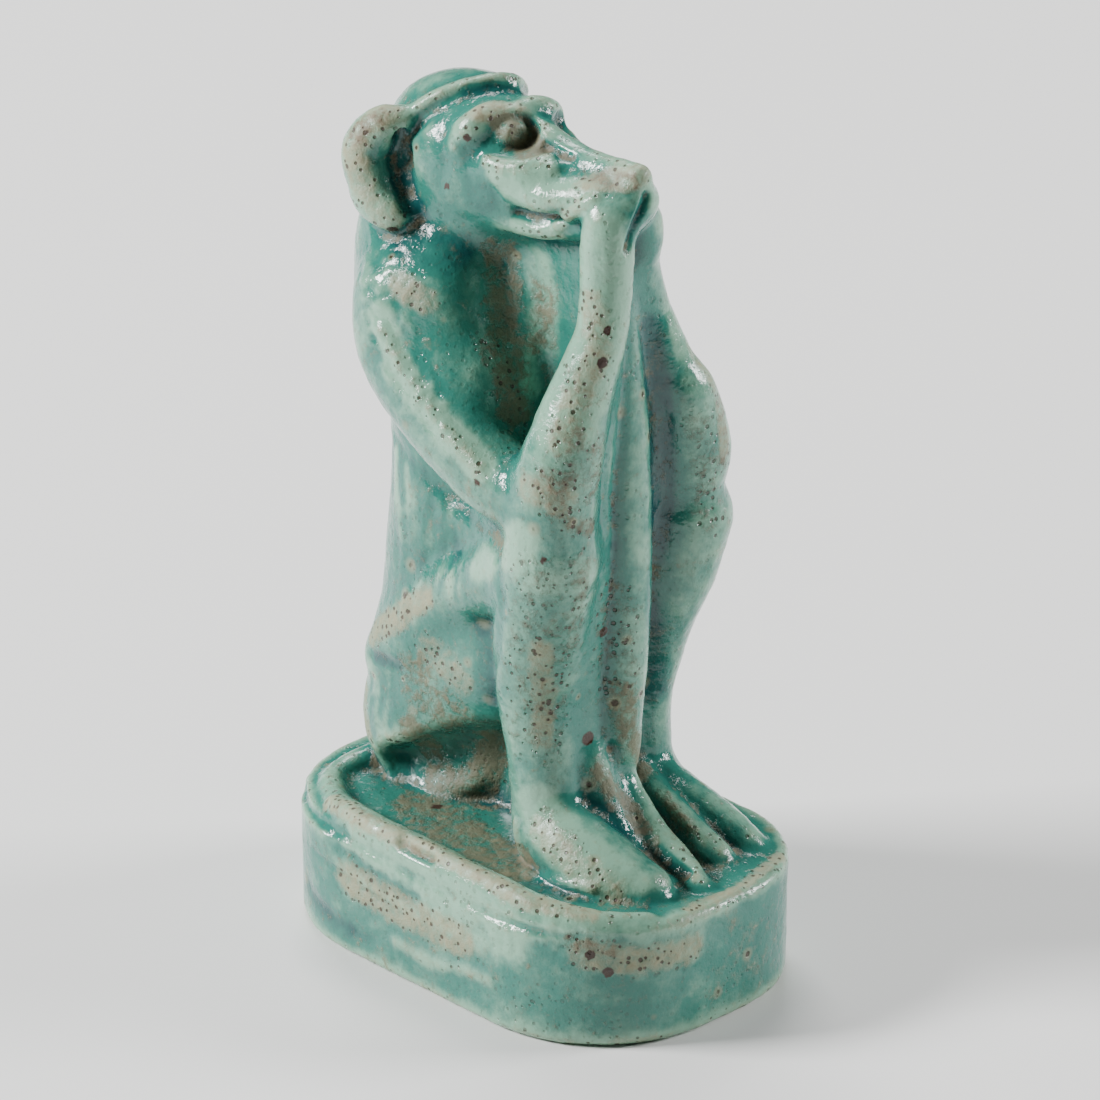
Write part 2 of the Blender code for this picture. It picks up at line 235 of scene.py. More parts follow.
def model_legs_and_feet(clay):
    """Shins with their calves, filled hollows behind the knees, and the long feet."""
    clay.limb([(-98, 92, 369, 51), (-91, 72, 297, 53), (-84, 60, 237, 52), (-80, 56, 177, 47),
               (-78, 62, 117, 43), (-77, 70, 57, 43), (-76, 76, 20, 40)], 16)
    clay.limb([(101, 99, 357, 49), (90, 90, 297, 47), (80, 76, 243, 42), (76, 64, 189, 38),
               (74, 55, 135, 35), (74, 52, 57, 36), (74, 52, 20, 36)], 16)
    clay.limb([(76, 46, 290, 38), (76, 42, 220, 36), (74, 38, 140, 34), (74, 42, 40, 34)], 14)
    for side in (-1, 1):
        clay.lump((side * 62, 24, 258), (36, 38, 46), 14)
    clay.limb([(-74, 70, 38, 42), (-86, 106, 28, 46), (-84, 160, 8, 45), (-70, 205, -3, 34)], 16)
    clay.limb([(74, 52, 34, 37), (74, 100, 22, 37), (84, 165, 3, 32), (88, 200, -8, 27)], 18)
    clay.limb([(50, 60, 50, 30), (42, 100, 36, 26), (40, 130, 24, 26), (38, 170, 12, 23),
               (42, 206, 1, 18)], 6)
    clay.limb([(50, 50, 10, 30), (44, 130, 0, 26)], 4)
    clay.limb([(-44, 87, 112, 27), (-40, 114, 50, 29), (-38, 156, 8, 26), (-36, 200, -12, 20)], 10)


def model_arms(clay):
    """Upper arms under the mantle down to the elbows on the knees, and forearms
    up to the mouth."""
    clay.pair([(86, -152, 592, 51), (91, -143, 549, 51), (97, -115, 518, 50), (102, -86, 495, 49),
               (104, -32, 463, 48), (102, 24, 437, 46), (98, 84, 430, 44)], 16)
    for side in (-1, 1):
        clay.lump((side * 60, -122, 560), (73, 81, 112), 34, square=2.2)
        clay.lump((side * 74, -66, 520), (50, 62, 60), 34, tilt=-30)
    clay.limb([(-98, 92, 372, 48), (-98, 97, 453, 47), (-88, 105, 506, 42), (-74, 108, 550, 36),
               (-52, 117, 617, 29), (-40, 113, 660, 29), (-33, 108, 707, 30), (-28, 106, 739, 29)], 12)
    clay.limb([(98, 96, 400, 42), (99, 101, 439, 46), (81, 111, 505, 37), (67, 101, 540, 32),
               (56, 91, 577, 30), (47, 82, 612, 29), (33, 79, 669, 29), (24, 86, 719, 28)], 14)
    clay.lump((30, 94, 706), (26, 24, 40), 12)


def model_head(clay):
    """Skull, long muzzle, brows, lids, lips, jaw, cap and ears."""
    clay.lump((0, -121, 737), (80, 124, 95), 26)
    clay.limb([(0, -40, 742, 60), (0, 20, 742, 46), (0, 70, 745, 38), (0, 109, 756, 31)], 18)
    clay.limb([(0, -40, 785, 22), (0, 40, 780, 16), (0, 122, 787, 14)], 14)
    clay.limb([(-62, -86, 780, 14), (-54, -78, 796, 18), (-38, -68, 806, 17), (-20, -54, 805, 14),
               (-9, -36, 798, 12), (-4, -8, 790, 10)], 12)
    clay.limb([(-4, -52, 810, 12), (10, -50, 812, 13), (26, -46, 808, 13), (42, -52, 796, 12),
               (56, -68, 774, 10)], 12)
    clay.pair([(50, -12, 748, 12), (45, 16, 747, 18), (38, 48, 750, 18), (27, 86, 761, 15)], 16)
    clay.pair([(44, -34, 704, 10), (38, 5, 704, 12), (30, 35, 710, 12), (22, 62, 718, 12)], 14)
    clay.limb([(-58, -54, 760, 8), (-56, -28, 762, 12), (-48, 0, 766, 13), (-34, 22, 774, 9)], 14)
    clay.limb([(-64, -172, 786, 6), (-50, -142, 809, 8), (-36, -126, 820, 8), (-15, -108, 829, 8),
               (8, -98, 830, 8), (30, -98, 821, 8), (52, -118, 799, 7), (70, -150, 764, 6)], 16)
    clay.limb([(-70, -160, 772, 5), (-60, -135, 801, 6), (-46, -114, 820, 6), (-24, -94, 831, 6),
               (0, -80, 832, 6), (24, -74, 825, 6), (48, -92, 802, 6), (70, -125, 764, 5)], 12, carve=True)
    clay.lump((-30, -31, 800), (25, 21, 19), 8, carve=True)
    clay.lump((-25, -44, 795), (19, 17, 15), 8)
    clay.limb([(-30, -20, 800, 13), (-24, 4, 794, 8), (-22, 22, 790, 3)], 6, carve=True)
    clay.limb([(42, -32, 797, 9), (32, -14, 798, 16), (24, 6, 796, 11)], 7, carve=True)
    clay.pair([(49, -10, 721, 3), (47, 8, 721, 5), (45, 28, 726, 5), (40, 48, 733, 4)], 12, carve=True)
    clay.limb([(-68, -171, 785, 16), (-82, -187, 776, 23), (-89, -202, 749, 28), (-92, -194, 721, 28),
               (-95, -178, 699, 27), (-94, -158, 690, 22), (-86, -146, 694, 14)], 8)
    clay.limb([(66, -171, 769, 13), (76, -188, 759, 17), (80, -200, 737, 19), (82, -192, 713, 18),
               (84, -176, 691, 17), (86, -150, 679, 16), (80, -132, 681, 11)], 8)
    clay.limb([(-74, -166, 776, 6), (-78, -158, 756, 10), (-84, -150, 732, 11), (-90, -138, 708, 10),
               (-94, -120, 690, 6)], 6, carve=True)


def model_base(clay, size):
    """The base, the tail along its right rim, the grooves around it and between
    the toes."""
    clay.blend(base_distance(size), (-300, -400, -220), (300, 400, 90), 10)
    clay.limb([(-10, -205, 10, 22), (-108, -232, -4, 17), (-161, -186, -4, 18), (-189, -110, 3, 21),
               (-192, 0, 4, 21), (-191, 100, 3, 20), (-184, 165, 1, 18), (-158, 220, -2, 15),
               (-110, 252, -6, 11)], 8)
    clay.limb([(-150, -250, -10, 4), (-194, -196, -5, 6), (-217, -110, -3, 7), (-219, 0, -9, 7),
               (-219, 90, -10, 7), (-206, 176, -12, 5), (-176, 232, -12, 3)], 5, carve=True)
    clay.limb([(-206, -180, -44, 2), (-217, -130, -48, 4), (-218, -60, -59, 5), (-218, 0, -65, 2)], 4,
              carve=True)
    clay.limb([(-27, 112, 122, 3), (-29, 136, 76, 5), (-32, 162, 47, 7), (-34, 184, 29, 8),
               (-24, 222, 11, 7)], 9, carve=True)
    clay.limb([(21, 89, 102, 6), (16, 120, 57, 8), (18, 150, 35, 8), (15, 202, 17, 8), (7, 240, 7, 6)], 6,
              carve=True)
    clay.limb([(50, 110, 71, 5), (60, 160, 43, 6), (64, 220, 15, 6)], 5, carve=True)


def model_clay(size, step):
    """The whole monkey as one field of distances."""
    low = (-size["half_width"] + size["middle"] - AIR_AROUND, -size["half_length"] - AIR_AROUND,
           -size["thickness"] - AIR_AROUND)
    high = (size["half_width"] + size["middle"] + AIR_AROUND, size["half_length"] + AIR_AROUND,
            GRID_ROWS + AIR_ABOVE)
    clay = Clay(low, high, step)
    model_trunk(clay)
    model_web(clay)
    model_haunches(clay)
    model_legs_and_feet(clay)
    model_arms(clay)
    model_head(clay)
    model_base(clay, size)
    return clay


# The skin: from the field to a mesh

def skin_of(clay):
    """Points and four-sided faces of the zero surface. Each grid cell that the
    surface runs through gets one point, the mean of the places where it crosses
    the cell's edges, and each crossed grid edge gets a face of its four cells."""
    d = clay.field
    inside = d < 0.0
    shape = np.array(d.shape) - 1
    total = np.zeros(tuple(shape) + (3,), np.float32)
    count = np.zeros(tuple(shape), np.int16)
    crossings = []
    for way in range(3):
        u, v = [a for a in range(3) if a != way]
        one = [slice(None)] * 3
        two = [slice(None)] * 3
        one[way], two[way] = slice(None, -1), slice(1, None)
        one, two = tuple(one), tuple(two)
        crossed = inside[one] != inside[two]
        where = np.argwhere(crossed)
        da, db = d[one][crossed], d[two][crossed]
        offset = da / (da - db)
        crossings.append((where, inside[one][crossed], u, v, way))
        for du in (0, 1):
            for dv in (0, 1):
                cell = where.copy()
                cell[:, u] -= du
                cell[:, v] -= dv
                keep = (cell >= 0).all(1) & (cell < shape).all(1)
                flat = np.ravel_multi_index(cell[keep].T, tuple(shape))
                spot = where[keep].astype(np.float32)
                spot[:, way] += offset[keep]
                for axis in range(3):
                    total.reshape(-1, 3)[:, axis] += np.bincount(
                        flat, spot[:, axis], count.size).astype(np.float32)
                count.reshape(-1)[:] += np.bincount(flat, minlength=count.size).astype(np.int16)
    used = count > 0
    number = np.full(count.shape, -1, np.int64)
    number[used] = np.arange(int(used.sum()))
    points = total[used] / count[used][:, None] * clay.step + clay.low
    faces = []
    for where, first_inside, u, v, way in crossings:
        corners = []
        for du, dv in ((1, 1), (0, 1), (0, 0), (1, 0)):
            cell = where.copy()
            cell[:, u] -= du
            cell[:, v] -= dv
            corners.append(cell)
        keep = np.all([((c >= 0) & (c < shape)).all(1) for c in corners], axis=0)
        quad = np.stack([number[tuple(c[keep].T)] for c in corners], 1)
        flip = first_inside[keep] != (way == 1)
        quad[flip] = quad[flip][:, ::-1]
        faces.append(quad)
    return points, np.vstack(faces)


def mesh_of(name, points, faces):
    """A mesh of those points and equal-sided faces, written as whole arrays."""
    mesh = bpy.data.meshes.new(name)
    sides = faces.shape[1]
    mesh.vertices.add(len(points))
    mesh.vertices.foreach_set("co", np.ascontiguousarray(points, np.float32).ravel())
    mesh.loops.add(faces.size)
    mesh.loops.foreach_set("vertex_index", np.ascontiguousarray(faces, np.int32).ravel())
    mesh.polygons.add(len(faces))
    mesh.polygons.foreach_set("loop_start", np.arange(0, faces.size, sides, dtype=np.int32))
    mesh.update(calc_edges=True)
    mesh.validate()
    return mesh


NOISE_GAIN = 1.6


def gradient_noise(points, width, seed):
    """Smooth noise, about -1 to 1. Seeded random arrows stand on a lattice width
    apart; each of the eight round a point gives its arrow times the way to the
    point, and they are joined by the curve 6t5 - 15t4 + 10t3 on each axis."""
    q = points / width
    cell = np.floor(q).astype(int)
    t = q - cell
    low = cell.min(0)
    arrows = np.random.default_rng(seed).normal(size=tuple(cell.max(0) - low + 2) + (3,))
    arrows /= np.linalg.norm(arrows, axis=-1, keepdims=True)
    eased = t ** 3 * (t * (t * 6 - 15) + 10)
    total = np.zeros(len(q))
    for dx in (0, 1):
        for dy in (0, 1):
            for dz in (0, 1):
                corner = np.array((dx, dy, dz))
                index = cell - low + corner
                share = np.prod(np.where(corner == 1, eased, 1.0 - eased), axis=1)
                arrow = arrows[index[:, 0], index[:, 1], index[:, 2]]
                total += share * ((t - corner) * arrow).sum(1)
    return total * NOISE_GAIN


def ease(value, low, high):
    """0 below low, 1 above high, and the curve 3t2 - 2t3 between."""
    t = np.clip((value - low) / (high - low), 0.0, 1.0)
    return t * t * (3.0 - 2.0 * t)


def blurred(field, passes):
    """The field with every value replaced, along each axis in turn and so many
    times, by a quarter of each neighbour and half of itself."""
    out = field.astype(np.float32)
    for _ in range(passes):
        for axis in range(3):
            padded = np.concatenate([out.take([0], axis), out, out.take([-1], axis)], axis)
            before = padded.take(range(out.shape[axis]), axis)
            after = padded.take(range(2, out.shape[axis] + 2), axis)
            out = 0.5 * out + 0.25 * (before + after)
    return out


def sampled(grid, low, step, points):
    """Values of a grid at the points, each the blend of the eight cells' corners
    around it by how near they are."""
    q = np.clip((points - low) / step, 0.0, np.array(grid.shape) - 1.001)
    cell = q.astype(int)
    t = q - cell
    total = np.zeros(len(q), np.float32)
    for dx in (0, 1):
        for dy in (0, 1):
            for dz in (0, 1):
                share = np.prod(np.where(np.array((dx, dy, dz)) == 1, t, 1.0 - t), axis=1)
                total += share * grid[cell[:, 0] + dx, cell[:, 1] + dy, cell[:, 2] + dz]
    return total


def filling(clay, points, coarse, passes):
    """How much clay lies round each point: 0.5 on a flat face, more in a hollow
    and less on a ridge. The field is cut to 0 and 1, thinned and blurred."""
    solid = np.clip(0.5 - clay.field[::coarse, ::coarse, ::coarse] / (clay.step * coarse), 0.0, 1.0)
    pad = passes + 2
    solid = blurred(np.pad(solid, pad), passes)
    step = clay.step * coarse
    return sampled(solid, clay.low - pad * step, step, points)


# Marks on the skin

PHOTO_WIDTH = 1100
VIEW_AZIMUTH, VIEW_ELEVATION = math.radians(-44.0), math.radians(25.0)
VIEW_DISTANCE = 8700.0
VIEW_AIM = (-30.0, 0.0, 370.0)
PIXELS_PER_SQUARE = 0.928
VIEW_SHIFT = (12.0 / PHOTO_WIDTH, -40.0 / PHOTO_WIDTH)
STROKE_CORE = 0.4


def view_axes():
    """The photograph's right, up and back directions in the scene."""
    a, e = VIEW_AZIMUTH, VIEW_ELEVATION
    back = Vector((math.sin(a) * math.cos(e), -math.cos(a) * math.cos(e), math.sin(e)))
    right = Vector((math.cos(a), math.sin(a), 0.0))
    return right, back.cross(right), back


class Skin:
    """The skin in metres, on which a stroke's marks are found by pixels."""

    def __init__(self, points, faces, square, origin):
        self.square = square
        self.tree = BVHTree.FromPolygons(points.tolist(), faces.tolist())
        self.axes = view_axes()
        aim = origin + np.array((VIEW_AIM[0], -VIEW_AIM[1], VIEW_AIM[2])) * square
        self.eye = Vector(aim) + self.axes[2] * (VIEW_DISTANCE * square)

    def place(self, mark):
        """The place on the skin behind a pixel: along the ray whose slopes right
        and up are the pixel's way from the middle over the lens's length."""
        right, up, back = self.axes
        lens = PIXELS_PER_SQUARE * VIEW_DISTANCE
        across = (mark[0] - PHOTO_WIDTH / 2) + VIEW_SHIFT[0] * PHOTO_WIDTH
        above = (PHOTO_WIDTH / 2 - mark[1]) + VIEW_SHIFT[1] * PHOTO_WIDTH
        ray = right * across + up * above - back * lens
        spot = self.tree.ray_cast(self.eye, ray.normalized())[0]
        if spot is None:
            raise ValueError("no skin behind pixel %s" % (mark,))
        return np.array(spot)

    def closeness(self, points, marks, width, core=0.0):
        """1 on a stroke through the marks, out to core of its width in pixels, then
        falling to 0 at its width, as the curve 3t2 - 2t3 of the distance to the
        nearest stretch between marks."""
        spots = [self.place(mark) for mark in marks]
        reach = width / PIXELS_PER_SQUARE * self.square
        low, high = np.min(spots, 0) - reach, np.max(spots, 0) + reach
        near = np.flatnonzero(((points > low) & (points < high)).all(1))
        best = np.full(len(near), reach)
        for a, b in zip(spots, spots[1:] if len(spots) > 1 else spots):
            ab = b - a
            t = np.clip((points[near] - a) @ ab / (ab @ ab + 1e-18), 0.0, 1.0)[:, None]
            best = np.minimum(best, np.linalg.norm(points[near] - a - t * ab, axis=1))
        total = np.zeros(len(points))
        total[near] = ease(best, reach, core * reach)
        return total

    def painted(self, points, strokes):
        """The greatest of several strokes, each flat in its inner part."""
        total = np.zeros(len(points))
        for strength, width, *marks in strokes.values():
            total = np.maximum(total, strength * self.closeness(points, marks, width, STROKE_CORE))
        return total


# Each named stroke is (strength, width, mark, mark, ...). Widths and marks are in
# pixels of the photograph, marks right and down from its corner. Ridges are
# raised, or sunk where negative, by strength squares of the grid.
RIDGES = {
    "lower lid": (4.0, 12, (487, 160), (504, 164), (521, 164), (538, 160), (552, 155)),
    "line beyond the lid": (-4.0, 9, (545, 147), (558, 152), (572, 158)),
    "rim of the right hand": (5.0, 11, (558, 225), (575, 212), (593, 199)),
    "crease between the hands": (-6.0, 8, (628, 250), (638, 220), (647, 196)),
    "brow": (1.5, 16, (480, 150), (470, 120), (490, 103), (512, 106)),
    "temple": (-1.5, 16, (440, 120), (446, 150), (440, 185)),
    "upper arm": (4.0, 14, (380, 330), (410, 380), (445, 430), (480, 470)),
    "crease under the arm": (-2.5, 16, (395, 440), (430, 480), (470, 520), (500, 545)),
    "fold of the thigh": (-2.5, 12, (372, 655), (385, 660), (398, 668)),
    "crease beside the shin": (-2.5, 14, (497, 560), (502, 600), (496, 650), (494, 700)),
    "foot": (4.0, 10, (516, 824), (521, 850), (528, 872), (560, 882), (591, 889)),
    "tail": (3.0, 12, (330, 800), (357, 816), (396, 835), (434, 851), (482, 874), (530, 902)),
    "chip in the rim": (-7.0, 13, (403, 842), (416, 850), (430, 857)),
    "bead on the base": (2.5, 14, (396, 941), (434, 964), (468, 971), (489, 980)),
    "crease below the tail": (-2.5, 14, (330, 838), (365, 872), (410, 898)),
    "band at the corner": (-2.0, 16, (308, 885), (322, 908), (345, 928), (372, 943)),
}
ROUGH_GLAZE = {
    "shoulder": (1.0, 40, (378, 250), (382, 300), (392, 350), (420, 400)),
    "side of the base": (0.8, 30, (350, 850), (400, 890), (450, 920), (500, 940)),
    "front of the base": (0.7, 30, (560, 940), (620, 960), (680, 960)),
    "foot": (0.6, 26, (530, 840), (560, 870), (600, 880)),
    "haunch": (0.6, 24, (375, 690), (390, 740)),
}
RUNS = {
    "flank": (1.0, 45, (400, 470), (410, 540), (400, 600)),
    "belly": (1.0, 40, (440, 520), (450, 570)),
    "haunch": (0.8, 40, (380, 680), (390, 740)),
}
# Strokes that deepen the glaze colour: glaze pooled in grooves and folds, and painted shade where noted.
POOLS_AND_PAINTED_SHADE = {
    "behind the ear": (1.0, 16, (402, 140), (398, 165), (404, 190), (416, 215)),
    "under the jaw": (0.8, 34, (410, 245), (450, 255)),
    "mouth": (0.4, 14, (528, 212), (556, 214)),
    "under the cap": (0.9, 12, (469, 92), (490, 90), (520, 92)),
    "beside the shin": (0.6, 16, (478, 620), (484, 670), (488, 720)),
    "fold of the thigh": (0.8, 12, (375, 658), (398, 664)),
    "band at the corner": (0.5, 20, (306, 885), (322, 908), (345, 928)),
    "crease below the tail": (0.4, 20, (345, 855), (380, 880), (410, 895)),
    "left hand": (0.5, 26, (640, 225), (650, 250)),
    "left eye": (0.7, 14, (548, 118), (560, 120)),
    # Painted shade on the cheek.
    "cheek": (0.6, 26, (470, 150), (480, 200)),
    # Painted shade in the groove and on the inner face of the left leg, shadowed by the ridge between the
    # legs.
    "beside the left leg": (1.0, 24, (652, 330), (660, 420), (658, 500), (652, 600), (656, 690)),
    "beside the foot": (0.6, 20, (600, 800), (622, 830)),
    # Painted shade where the front of the base turns away from the light.
    "front of the base": (0.4, 60, (765, 895), (765, 950)),
}
# Strokes that make the glaze colour paler: glaze run thin, and painted light where noted.
THIN_GLAZE_AND_PAINTED_LIGHT = {
    # Painted highlight along the lit ridge of the upper arm.
    "upper arm": (1.0, 22, (380, 320), (400, 370), (440, 425), (480, 465)),
    # Painted light and sheen on the lit side of the forearm.
    "forearm": (1.0, 46, (598, 260), (595, 300), (585, 360), (565, 420)),
    "upper lip": (1.0, 24, (505, 185), (540, 184), (570, 186)),
    "jaw": (0.8, 18, (520, 230), (545, 232)),
    "thigh": (1.0, 30, (480, 560), (520, 540)),
    # Painted light on the lit top of the foot.
    "foot": (1.0, 36, (540, 810), (565, 850), (620, 885)),
    # Painted light on the lit face of the web.
    "web": (1.0, 26, (535, 260), (545, 300), (545, 340), (535, 380)),
    "side of the base": (1.0, 44, (360, 865), (400, 885), (450, 910), (500, 935)),
}
WORN_PLACES = {
    "ear": (0.9, 26, (385, 112), (360, 128), (350, 150), (360, 185)),
    "lobe": (0.7, 20, (372, 205), (390, 225)),
    "brow": (0.9, 18, (478, 112), (500, 104)),
    "muzzle": (0.8, 22, (590, 180), (620, 180), (640, 172)),
    "shoulder": (0.8, 22, (400, 285), (425, 300)),
    "forearm": (0.7, 22, (590, 300), (600, 350), (575, 400), (560, 440)),
    "knee": (0.8, 26, (530, 490), (560, 500)),
    "thigh": (0.9, 22, (372, 635), (400, 615), (425, 595)),
    "haunch": (0.7, 30, (430, 650), (460, 680)),
    "tail": (0.9, 17, (330, 800), (357, 816), (396, 835), (434, 851), (482, 874), (530, 902), (590, 912)),
    "side of the base": (0.9, 30, (350, 880), (400, 910), (460, 940)),
    "front of the base": (0.8, 26, (585, 955), (640, 960), (690, 950)),
    "front rim": (0.9, 12, (690, 908), (740, 888), (780, 855)),
    "rump": (0.8, 16, (365, 690), (370, 740)),
    "foot": (0.7, 24, (540, 830), (575, 865), (610, 890)),
    "shin": (0.7, 20, (540, 650), (545, 700), (540, 740)),
    "left elbow": (0.7, 16, (690, 345), (722, 410), (726, 450)),
}
# Browned places, and painted shade where noted.
BROWNED_AND_SHADED_PLACES = {
    "ear": (0.8, 18, (380, 115), (356, 135)),
    "muzzle": (0.8, 16, (600, 178), (630, 182)),
    "crook of the arm": (0.7, 20, (490, 350), (510, 400)),
    "knee": (0.7, 22, (545, 480), (590, 480)),
    "below the knee": (0.8, 16, (560, 520), (590, 530)),
    "edge of the shin": (0.6, 20, (580, 560), (575, 640)),
    "front of the base": (0.7, 14, (570, 940), (610, 950)),
    "left elbow": (0.6, 16, (720, 400), (726, 460)),
    "tail": (0.5, 14, (470, 860), (520, 890)),
    # Painted shade on the shin, which faces away from the side lights.
    "shin": (0.5, 55, (535, 590), (540, 660), (535, 730)),
    "between the legs": (0.5, 40, (610, 600), (618, 680)),
    "elbow": (0.6, 40, (570, 440), (600, 470), (560, 500)),
    "forearm": (0.5, 40, (580, 330), (590, 390)),
    "left knee": (0.5, 34, (700, 430), (715, 520)),
    "foot": (0.6, 16, (548, 815), (575, 850)),
}
DUSTY_PLACES = {
    "eye": (1.0, 22, (505, 125), (530, 140), (530, 155)),
    "crook of the arm": (0.8, 30, (500, 250), (505, 330), (515, 410)),
    "web": (0.7, 22, (540, 340), (545, 290)),
    "hollow of the haunch": (0.9, 22, (410, 725), (430, 750)),
    "behind the foot": (0.9, 30, (440, 780), (480, 790), (495, 740)),
    "between the legs": (0.9, 20, (622, 690), (628, 730), (640, 770)),
    "ankle": (0.7, 14, (598, 780), (620, 810)),
    "left toes": (0.6, 12, (660, 820), (690, 850)),
    "top of the base": (0.85, 44, (420, 805), (465, 835), (520, 868)),
    "haunch": (0.6, 50, (420, 680), (450, 720)),
    "inner toe groove": (0.8, 16, (600, 770), (628, 805), (650, 840)),
    "middle toe groove": (0.7, 14, (662, 795), (690, 830)),
}
PITS = {
    "lower front": (1.0, 9, (608, 973)),
    "upper front": (1.0, 8, (590, 955)),
    "between the legs": (1.0, 9, (604, 632)),
    "ankle": (0.9, 12, (588, 738)),
    "upper forearm": (1.0, 7, (608, 331)),
    "lower forearm": (1.0, 9, (603, 363)),
    "lobe": (0.9, 9, (392, 230)),
    "temple": (0.9, 7, (467, 138)),
    "cheek": (0.9, 8, (445, 186)),
    "top of the base": (0.8, 10, (437, 806)),
    "elbow": (0.8, 7, (476, 483)),
    "knee": (0.8, 7, (543, 561)),
}


# Widths in metres of the glaze's waves, and how the runs are drawn out upwards
SLOW_WAVES, QUICK_WAVES, LUMPS = 0.0011, 0.0006, 0.00042
RUN_WIDTH, RUN_STRETCH = 0.00045, (1.0, 1.0, 0.22)
WEAR_PATCHES, STAIN_PATCHES = 0.0028, 0.0035

# How the clay round a point is looked at: every so many cells, blurred so often
NEAR_LOOK, WIDE_LOOK = (2, 4), (3, 14)


def runs_at(points):
    """Noise drawn out upwards, for glaze that ran down."""
    return gradient_noise(points * RUN_STRETCH, RUN_WIDTH, 6)


def relief(skin, points, square, ripple):
    """How far each point is pushed out along its own direction, in metres: slow
    and quick waves of the glaze, upright runs on the flank, and strokes."""
    waves = 0.6 * gradient_noise(points, SLOW_WAVES, 3) + 0.4 * gradient_noise(points, QUICK_WAVES, 4)
    lumps = gradient_noise(points, LUMPS, 5)
    rough = skin.painted(points, ROUGH_GLAZE)
    height = ripple * (waves - 1.0 + 0.5 * lumps + 1.6 * rough * lumps)
    height += ripple * 1.5 * skin.painted(points, RUNS) * runs_at(points)
    for strength, width, *marks in RIDGES.values():
        height += strength * square * skin.closeness(points, marks, width)
    return height


def finish_of(skin, points, ways, near, wide):
    """What the glaze reads at each point: hollow or proud, worn to the body,
    browned, dusty, and pitted. near and wide are the clay round it. Ridges wear,
    hollows pool and hold dust, and strokes place the rest. Some of the strokes
    are painted shade, raising the hollow and browned readings, and some are
    painted light, lowering the hollow reading."""
    hollow = 0.38 + 2.6 * (near - 0.5) + 0.9 * (wide - 0.5)
    ridge = ease(0.5 - near, 0.01, 0.10)
    hollow += 0.5 * skin.painted(points, RUNS) * runs_at(points)
    # Deeper where strokes pool the glaze or paint shade, paler where strokes thin it or paint light.
    hollow += 0.5 * skin.painted(points, POOLS_AND_PAINTED_SHADE) - 0.4 * skin.painted(points, THIN_GLAZE_AND_PAINTED_LIGHT)
    worn = 0.12 + 0.35 * ridge + 0.22 * gradient_noise(points, WEAR_PATCHES, 7)
    stain_and_shade = 0.05 + 0.22 * ridge + 0.28 * gradient_noise(points, STAIN_PATCHES, 8)
    dust = 0.8 * ease(near, 0.54, 0.72) * ease(ways[:, 2], -0.4, 0.3)
    return {
        "hollow": hollow,
        "worn": np.maximum(worn, skin.painted(points, WORN_PLACES)),
        # The browned places here include painted shade on the shin.
        "stain_and_shade": np.maximum(stain_and_shade, skin.painted(points, BROWNED_AND_SHADED_PLACES)),
        "dust": np.maximum(dust, skin.painted(points, DUSTY_PLACES)),
        "pitted": skin.painted(points, PITS),
    }


# The glaze

